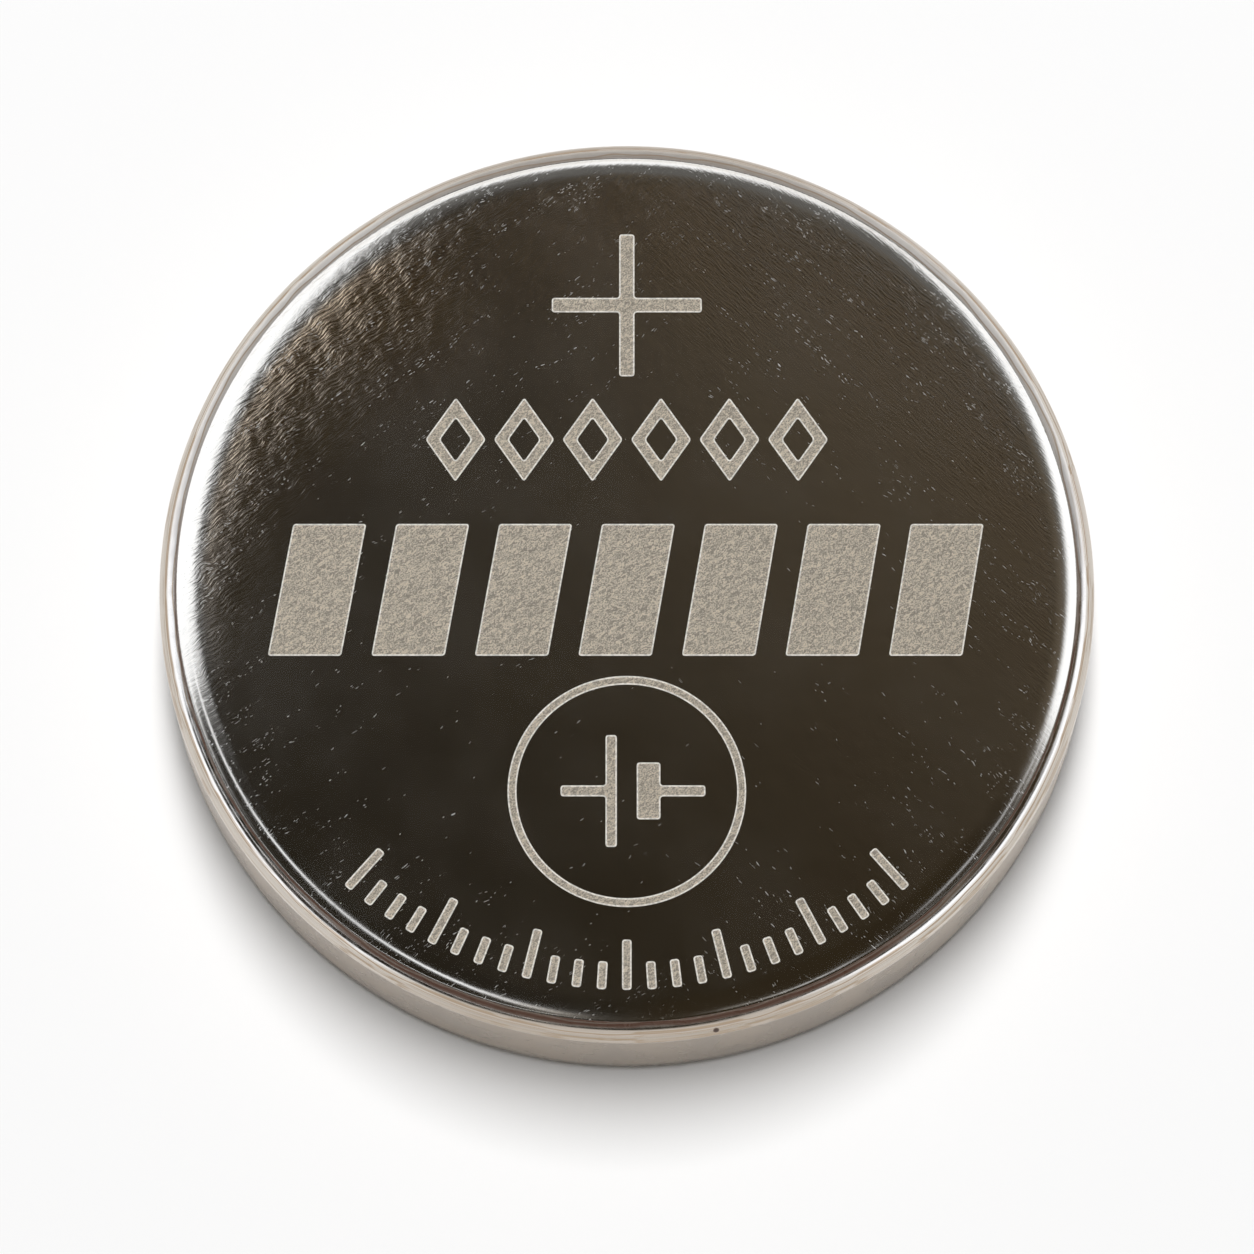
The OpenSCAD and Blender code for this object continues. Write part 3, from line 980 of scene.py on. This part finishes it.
class COINCELL_OT_sealing_gasket(bpy.types.Operator):
    """Model the gasket as a channel section spun round the cell's axis"""

    bl_idname = "coin_cell.sealing_gasket"
    bl_label = "Sealing gasket"

    def execute(self, context):
        cell = context.scene.coin_cell
        can, cap, sizes = cell.can, cell.cap, cell.gasket
        lip_top = cap.shoulder
        outer = can.radius - can.sheet
        wall = outer - cap.skirt_radius
        lip_end = cap.step_radius + sizes.lip_width
        under = can.curl_rise + can.sheet
        piece = begin("gasket_ring", bpy.ops.mesh.primitive_plane_add, size=1)
        self.shape(sizes.lip_rise, lip_top, cap.step_radius, lip_end)
        self.pull_out(lip_end, cap.skirt_radius - lip_end, low=under)
        self.pull_out(cap.skirt_radius, wall)
        self.raise_wall(cap.skirt_radius, lip_top, cap.skirt_top - lip_top)
        self.raise_wall(cap.skirt_radius, cap.skirt_top, sizes.foot_top - cap.skirt_top)
        self.pull_in(cap.skirt_radius, cap.skirt_top, sizes)
        self.lower_inner(cap.skirt_top, sizes)
        choose("FACE", lambda face: True)
        bpy.ops.mesh.spin(steps=SIDES, angle=math.tau, center=(0, 0, 0), axis=(0, 0, 1))
        choose("FACE", self.at_seam)
        bpy.ops.mesh.delete(type="FACE")
        choose("VERT", lambda corner: True)
        bpy.ops.mesh.remove_doubles(threshold=MERGE)
        bpy.ops.mesh.normals_make_consistent(inside=False)
        piece.data.materials.append(moulded_plastic(cell.finishes))
        close_up(piece)
        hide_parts("sealing_gasket")
        return {"FINISHED"}

    def shape(self, low, high, inner, outer):
        """Stands the plane up in the section's plane, as the visible end of the gasket."""
        mesh = bmesh.from_edit_mesh(bpy.context.edit_object.data)
        for corner in mesh.verts:
            right = corner.co.x > 0
            up = corner.co.y > 0
            corner.co = (outer if right else inner, 0, high if up else low)
        bmesh.update_edit_mesh(bpy.context.edit_object.data)

    def at_seam(self, face):
        """Whether a face closes the section where the spin starts and ends."""
        flat = all(abs(corner.co.y) < MERGE for corner in face.verts)
        return flat and len(face.verts) == 4 and abs(face.normal.y) > SQUARE

    def edge_between(self, test):
        """Selects the edges whose two ends pass the test."""
        choose("EDGE", lambda edge: all(test(corner.co) for corner in edge.verts))

    def pull_out(self, radius, reach, low=None):
        """Extrudes the section's outer edge, and moves its lower end up if low is given."""
        self.edge_between(lambda p: abs(p.x - radius) < NEAR)
        extrude(x=reach)
        if low is not None:
            mesh = bmesh.from_edit_mesh(bpy.context.edit_object.data)
            ends = [corner for corner in mesh.verts if corner.select]
            lowest = min(ends, key=lambda corner: corner.co.z)
            lowest.co.z = low
            bmesh.update_edit_mesh(bpy.context.edit_object.data)

    def raise_wall(self, radius, height, rise):
        """Extrudes the wall's upper edge."""
        self.edge_between(lambda p: p.x > radius - NEAR and abs(p.z - height) < NEAR)
        extrude(z=rise)

    def pull_in(self, radius, height, sizes):
        """Extrudes the foot's inner edge towards the axis, as far as the skirt and then the inner wall."""
        self.edge_between(lambda p: abs(p.x - radius) < NEAR and p.z > height - NEAR)
        for step in (sizes.bore + sizes.inner_wall - radius, -sizes.inner_wall):
            extrude(x=step)

    def lower_inner(self, height, sizes):
        """Extrudes the inner wall downwards."""
        self.edge_between(lambda p: p.x < sizes.bore + sizes.inner_wall + NEAR and abs(p.z - height) < NEAR)
        extrude(z=sizes.inner_low - height)


class COINCELL_OT_electrodes(bpy.types.Operator):
    """Dress the lithium disc, separator, cathode pellet and collector mesh"""

    bl_idname = "coin_cell.electrodes"
    bl_label = "Electrodes"

    def execute(self, context):
        finishes = context.scene.coin_cell.finishes
        dress = {
            "lithium_disc": (lithium_foil, "lithium_foil"),
            "separator_disc": (separator_fleece, "separator_fleece"),
            "cathode_pellet": (pressed_powder, "cathode_mix"),
            "collector_mesh": (mesh_metal, "mesh_steel"),
        }
        for name, (make, slot) in dress.items():
            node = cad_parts[name]
            node.material_slots[0].material = make(finishes)
        return {"FINISHED"}


def flat_piece(name, add, sizes, where, scale=(1, 1), turn=0.0, **settings):
    """Starts a mark as a flat outline just under the face and opens it for editing."""
    base = sizes["top"] - sizes["sunk"]
    piece = begin(name, add, location=(where[0], where[1], base), rotation=(0, 0, turn), **settings)
    along = Vector((math.cos(turn), math.sin(turn), 0))
    across = Vector((-along.y, along.x, 0))
    centre = Vector((where[0], where[1], base))
    mesh = bmesh.from_edit_mesh(piece.data)
    for corner in mesh.verts:
        offset = corner.co - centre
        corner.co = centre + along * (offset @ along) * scale[0] + across * (offset @ across) * scale[1]
    bmesh.update_edit_mesh(piece.data)
    return piece


def flat_block(name, sizes, where, widths, turn=0.0):
    """Starts a mark as a flat rectangle."""
    return flat_piece(name, bpy.ops.mesh.primitive_plane_add, sizes, where, widths, turn, size=1)


def hollow_out(stroke):
    """Leaves only a line of that width of a filled outline."""
    choose("FACE", lambda face: True)
    bpy.ops.mesh.inset(thickness=stroke)
    bpy.ops.mesh.delete(type="FACE")


def add_arm(centre, core, direction, reach):
    """Extrudes the side of a flat block that looks in that direction. core is the block's two widths."""
    way = Vector((*direction, 0))
    middle = Vector((*centre, 0))
    half = Vector((core[0] / 2, core[1] / 2))

    def on_side(corner):
        offset = corner.co - middle
        inside = abs(offset.x) < half.x + NEAR and abs(offset.y) < half.y + NEAR
        return inside and offset @ way > abs(half @ way.xy) - NEAR

    choose("EDGE", lambda edge: all(on_side(corner) for corner in edge.verts))
    extrude(*(way * reach))


class MarkOperator:
    """What the operators of the frosted marks share."""

    def sizes(self, context):
        """The marks' sizes with the height of the face."""
        cell = context.scene.coin_cell
        found = {name: getattr(cell.marks, name) for name in MarkSizes.__annotations__}
        found["top"] = cell.can.height
        return found

    def row(self, sizes, name):
        """The places along a row of marks, centred on the face."""
        last = sizes[name + "_count"] - 1
        return [(index - last / 2) * sizes[name + "_pitch"] for index in range(last + 1)]

    def plate(self, context, pieces, name, sizes):
        """Joins the outlines, gives them thickness and a bright border, and hangs them on the frame."""
        alone(pieces[0])
        for piece in pieces:
            piece.select_set(True)
        if len(pieces) > 1:
            bpy.ops.object.join()
        piece = bpy.context.object
        piece.name = name
        piece.data.name = name
        apply_modifier(piece, "SOLIDIFY", thickness=sizes["sunk"] + sizes["proud"], offset=1)
        for material in self.materials(context):
            piece.data.materials.append(material)
        bpy.ops.object.mode_set(mode="EDIT")
        choose("EDGE", self.is_corner)
        bpy.ops.mesh.bevel(offset=sizes["rounding"], segments=MARK_STEPS, affect="EDGES")
        choose("FACE", lambda face: face.normal.z > SQUARE)
        bpy.ops.mesh.inset(thickness=sizes["border"])
        bpy.ops.object.mode_set(mode="OBJECT")
        self.paint_border(piece)
        close_up(piece)
        return {"FINISHED"}

    def is_corner(self, edge):
        """Whether an edge stands up between two walls of a plate that meet at a corner."""
        along = (edge.verts[1].co - edge.verts[0].co).normalized()
        return abs(along.z) > SQUARE and edge.calc_face_angle(0) > WALL_CORNER

    def materials(self, context):
        """The frosted material and that of the bright line, made once."""
        made = [bpy.data.materials.get(name) for name in ("etched_nickel", "etched_edge")]
        if None in made:
            finishes = context.scene.coin_cell.finishes
            made = [etched_nickel(finishes), etched_edge(finishes)]
        return made

    def paint_border(self, piece):
        """Gives the faces that the inset left outside the selection the bright line's material."""
        for face in piece.data.polygons:
            face.material_index = 0 if face.select else 1


class COINCELL_OT_plus_mark(MarkOperator, bpy.types.Operator):
    """Model the plus sign on the positive face"""

    bl_idname = "coin_cell.plus_mark"
    bl_label = "Plus sign"

    def execute(self, context):
        sizes = self.sizes(context)
        stroke = sizes["plus_stroke"]
        centre, core = (0, sizes["plus_y"]), (stroke, stroke)
        piece = flat_block("plus", sizes, centre, core)
        for direction in ((1, 0), (-1, 0), (0, 1), (0, -1)):
            add_arm(centre, core, direction, (sizes["plus_span"] - stroke) / 2)
        return self.plate(context, [piece], "plus_mark", sizes)


class COINCELL_OT_rhomb_marks(MarkOperator, bpy.types.Operator):
    """Model the row of open rhombs under the plus sign"""

    bl_idname = "coin_cell.rhomb_marks"
    bl_label = "Row of rhombs"

    def execute(self, context):
        sizes = self.sizes(context)
        pieces = []
        for place in self.row(sizes, "rhomb"):
            piece = flat_piece(
                "rhomb", bpy.ops.mesh.primitive_circle_add, sizes, (place, sizes["rhomb_y"]),
                (sizes["rhomb_width"] / 2, sizes["rhomb_height"] / 2), vertices=4, radius=1, fill_type="NGON",
            )
            hollow_out(sizes["rhomb_stroke"])
            pieces.append(piece)
        return self.plate(context, pieces, "rhomb_marks", sizes)


class COINCELL_OT_block_marks(MarkOperator, bpy.types.Operator):
    """Model the row of slanted blocks across the face"""

    bl_idname = "coin_cell.block_marks"
    bl_label = "Row of blocks"

    def execute(self, context):
        sizes = self.sizes(context)
        pieces = []
        for place in self.row(sizes, "block"):
            centre = (place - sizes["block_slant"] / 2, sizes["block_y"])
            piece = flat_block("block", sizes, centre, (sizes["block_width"], sizes["block_height"]))
            choose("VERT", lambda corner: corner.co.y > sizes["block_y"])
            bpy.ops.transform.translate(value=(sizes["block_slant"], 0, 0))
            pieces.append(piece)
        return self.plate(context, pieces, "block_marks", sizes)


class COINCELL_OT_ring_mark(MarkOperator, bpy.types.Operator):
    """Model the ring with the circuit symbol of a cell in it"""

    bl_idname = "coin_cell.ring_mark"
    bl_label = "Ring and symbol"

    def execute(self, context):
        sizes = self.sizes(context)
        ring = flat_piece(
            "ring", bpy.ops.mesh.primitive_circle_add, sizes, (0, sizes["ring_y"]),
            vertices=RING_SIDES, radius=sizes["ring_radius"], fill_type="NGON",
        )
        hollow_out(sizes["ring_stroke"])
        stroke = sizes["symbol_stroke"]
        pieces = [ring]
        plates = (
            (-1, stroke, sizes["long_arm"]),
            (1, sizes["short_plate"], sizes["short_arm"]),
        )
        for side, width, arm in plates:
            place = side * (sizes["plate_gap"] + width) / 2
            centre = (place, sizes["ring_y"])
            core = (width, stroke)
            pieces.append(flat_block("plate", sizes, centre, core))
            for direction, reach in (((0, 1), arm), ((0, -1), arm), ((side, 0), sizes["lead"])):
                add_arm(centre, core, direction, reach)
        return self.plate(context, pieces, "ring_mark", sizes)


class COINCELL_OT_scale_marks(MarkOperator, bpy.types.Operator):
    """Model the arc of long and short ticks along the lower rim"""

    bl_idname = "coin_cell.scale_marks"
    bl_label = "Arc of ticks"

    def execute(self, context):
        sizes = self.sizes(context)
        pieces = []
        last = sizes["scale_count"] - 1
        for index in range(last + 1):
            turn = -math.pi / 2 + (index / last - 0.5) * sizes["scale_span"]
            length = sizes["long_tick"] if index % sizes["tick_every"] == 0 else sizes["short_tick"]
            radius = sizes["scale_radius"] - length / 2
            centre = (radius * math.cos(turn), radius * math.sin(turn))
            pieces.append(flat_block("tick", sizes, centre, (length, sizes["tick_stroke"]), turn))
        return self.plate(context, pieces, "scale_marks", sizes)


class COINCELL_OT_studio(bpy.types.Operator):
    """Set up the floor, the pale surroundings with their dark canopy, the lamps and the camera"""

    bl_idname = "coin_cell.studio"
    bl_label = "Studio"

    def execute(self, context):
        cell = context.scene.coin_cell
        context.scene.view_settings.view_transform = "Standard"
        self.floor(cell.studio)
        self.surroundings(context, cell.studio)
        for name, settings in LAMPS.items():
            self.lamp(name, **settings)
        self.camera(context, cell)
        return {"FINISHED"}

    def floor(self, studio):
        """A pale floor that keeps the shadow and reads as white where it is lit."""
        piece = begin("floor", bpy.ops.mesh.primitive_plane_add, size=studio.floor_side)
        bpy.ops.mesh.subdivide(number_cuts=3)
        alone(piece)
        material = bpy.data.materials.new("pale_floor")
        material.use_nodes = True
        tree = material.node_tree
        tree.nodes.clear()
        path = add_node(tree, "ShaderNodeLightPath")
        seen = calculate(tree, "MAXIMUM", path.outputs["Is Camera Ray"], path.outputs["Is Glossy Ray"])
        paint = blend_colour(tree, seen, studio.floor_paint, WHITE)
        diffuse = add_node(tree, "ShaderNodeBsdfDiffuse", {"Color": paint})
        add_node(tree, "ShaderNodeOutputMaterial", {"Surface": diffuse.outputs[0]})
        piece.data.materials.append(material)

    def surroundings(self, context, studio):
        """A pale room: white to the eye, softer as a lamp, and with a dark canopy overhead in the metal."""
        world = bpy.data.worlds.new("pale_room")
        context.scene.world = world
        world.use_nodes = True
        tree = world.node_tree
        tree.nodes.clear()
        x, y, z = split(tree, add_node(tree, "ShaderNodeTexCoord").outputs["Generated"])
        rise = calculate(tree, "MAXIMUM", z, LOWEST_RISE)
        right = calculate(tree, "DIVIDE", x, rise)
        back = calculate(tree, "DIVIDE", y, rise)
        room = self.room_colour(tree, right, back, z, studio)
        canopy = self.canopy_colour(tree, right, back, studio)
        mirrored = blend_colour(tree, self.canopy_cover(tree, right, back, studio), room, canopy)
        path = add_node(tree, "ShaderNodeLightPath")
        lamp = shade(WHITE, studio.world_light)
        light = blend_colour(tree, path.outputs["Is Glossy Ray"], lamp, mirrored)
        light = blend_colour(tree, path.outputs["Is Camera Ray"], light, WHITE)
        background = add_node(tree, "ShaderNodeBackground", {"Color": light, "Strength": 1.0})
        add_node(tree, "ShaderNodeOutputWorld", {"Surface": background.outputs[0]})

    def canopy_cover(self, tree, right, back, studio):
        """How much of the canopy lies in a direction, given as tangents off the zenith, from 0 to 1."""
        soft = studio.canopy_fade
        left_end = fade(tree, back, *LEFT_NARROWS, studio.canopy_front_left, studio.canopy_left)
        widening = fade(tree, back, *LEFT_WIDENS, 0.0, studio.canopy_back_left)
        left_end = calculate(tree, "ADD", left_end, widening)
        right_end = fade(tree, back, *RIGHT_WIDENS, studio.canopy_front_right, studio.canopy_middle_right)
        right_end = fade(tree, back, *RIGHT_NARROWS, right_end, studio.canopy_right)
        cover = multiply(
            tree,
            fade(tree, calculate(tree, "ADD", right, left_end), -soft, 0.0),
            fade(tree, calculate(tree, "SUBTRACT", right, right_end), soft, 0.0),
            fade(tree, back, studio.canopy_back + soft, studio.canopy_back),
            fade(tree, back, -studio.canopy_front - soft, -studio.canopy_front),
        )
        for gap in CANOPY_GAPS:
            cover = multiply(tree, cover, self.beside_gap(tree, right, back, **gap))
        return cover

    def beside_gap(self, tree, right, back, turn, distance, start, share):
        """What a narrow straight gap leaves of the canopy. It lies in the direction turn."""
        turn = math.radians(turn)
        out = multiply_add(tree, back, math.sin(turn), multiply(tree, right, math.cos(turn)))
        off = calculate(tree, "ABSOLUTE", calculate(tree, "SUBTRACT", out, distance))
        beside = calculate(tree, "ABSOLUTE", right)
        gap = multiply(tree, fade(tree, off, *GAP_EDGE), fade(tree, beside, start, start + GAP_END))
        return fade(tree, gap, 0.0, 1.0, 1.0, 1.0 - share)

    def canopy_colour(self, tree, right, back, studio):
        """The canopy's colour in a direction: darkest overhead, and paler towards the back."""
        slope = multiply_add(tree, right, 0.5, back)
        dark = blend_colour(tree, fade(tree, right, *DARK_TO_WARM), studio.canopy_dark, studio.canopy_warm)
        brown = blend_colour(tree, fade(tree, slope, *TO_BROWN), dark, studio.canopy_brown)
        shaded = multiply(tree, fade(tree, right, *SHADED_SIDE), fade(tree, back, *SHADED_BACK))
        brown = blend_colour(tree, shaded, brown, studio.canopy_shaded)
        return blend_colour(tree, fade(tree, slope, *TO_PALE), brown, studio.canopy_pale)

    def room_colour(self, tree, right, back, z, studio):
        """The room's colour in the metal: white low down and in front, and bright further up."""
        behind = multiply_add(tree, calculate(tree, "ABSOLUTE", right), 0.8, back)
        high = multiply(tree, fade(tree, z, *GLOW_RISES), fade(tree, behind, *GLOW_BEHIND))
        return blend_colour(tree, high, WHITE, studio.room_glow)

    def lamp(self, name, azimuth, elevation, distance, width, depth, radiance):
        """A softbox that looks at the cell."""
        turn, climb = math.radians(azimuth), math.radians(elevation)
        direction = Vector((
            math.cos(turn) * math.cos(climb), math.sin(turn) * math.cos(climb), math.sin(climb),
        ))
        data = bpy.data.lights.new(name, "AREA")
        data.shape = "RECTANGLE"
        data.size, data.size_y = width, depth
        data.energy = radiance * math.pi * width * depth
        lamp = bpy.data.objects.new(name, data)
        bpy.context.scene.collection.objects.link(lamp)
        lamp.location = direction * distance
        lamp.rotation_euler = direction.to_track_quat("Z", "Y").to_euler()
        lamp.visible_camera = False
        lamp.visible_glossy = False

    def camera(self, context, cell):
        """The photograph's view of the positive face."""
        studio = cell.studio
        back = Vector((0, -math.cos(studio.camera_elevation), math.sin(studio.camera_elevation)))
        right = Vector((1, 0, 0))
        up = back.cross(right)
        target = Vector((0, 0, cell.can.height)) + right * studio.camera_right - up * studio.camera_down
        data = bpy.data.cameras.new("camera")
        data.sensor_width = SENSOR_WIDTH
        data.lens = studio.lens
        data.clip_start, data.clip_end = CAMERA_RANGE
        camera = bpy.data.objects.new("camera", data)
        context.scene.collection.objects.link(camera)
        camera.location = target + back * studio.camera_distance
        camera.rotation_euler = (-back).to_track_quat("-Z", "Y").to_euler()
        context.scene.camera = camera


PIECE_OPERATORS = (
    COINCELL_OT_positive_can, COINCELL_OT_negative_cap, COINCELL_OT_sealing_gasket, COINCELL_OT_electrodes,
    COINCELL_OT_plus_mark, COINCELL_OT_rhomb_marks, COINCELL_OT_block_marks, COINCELL_OT_ring_mark,
    COINCELL_OT_scale_marks, COINCELL_OT_studio,
)


class COINCELL_PT_sidebar(bpy.types.Panel):
    """Sizes, colours and pieces of the coin cell."""

    bl_idname = "COINCELL_PT_sidebar"
    bl_label = "Coin cell"
    bl_space_type = "VIEW_3D"
    bl_region_type = "UI"
    bl_category = "Coin cell"

    def draw(self, context):
        cell = context.scene.coin_cell
        for group in CoinCell.__annotations__:
            box = self.layout.box()
            box.label(text=group.capitalize())
            for name in type(getattr(cell, group)).__annotations__:
                box.prop(getattr(cell, group), name)
        for operator in PIECE_OPERATORS:
            self.layout.operator(operator.bl_idname)


CLASSES = (
    CanSizes, CapSizes, GasketSizes, MarkSizes, Finishes, StudioSizes, CoinCell,
    *PIECE_OPERATORS, COINCELL_PT_sidebar,
)


def register():
    """Registers the classes and the scene's settings."""
    for entry in CLASSES:
        bpy.utils.register_class(entry)
    bpy.types.Scene.coin_cell = bpy.props.PointerProperty(type=CoinCell)


def unregister():
    """Takes the settings and the classes away again."""
    del bpy.types.Scene.coin_cell
    for entry in reversed(CLASSES):
        bpy.utils.unregister_class(entry)


def main():
    """Builds every piece in order."""
    register()
    bpy.ops.coin_cell.positive_can()
    bpy.ops.coin_cell.negative_cap()
    bpy.ops.coin_cell.sealing_gasket()
    bpy.ops.coin_cell.electrodes()
    bpy.ops.coin_cell.plus_mark()
    bpy.ops.coin_cell.rhomb_marks()
    bpy.ops.coin_cell.block_marks()
    bpy.ops.coin_cell.ring_mark()
    bpy.ops.coin_cell.scale_marks()
    bpy.ops.coin_cell.studio()


if __name__ == "__main__":
    main()
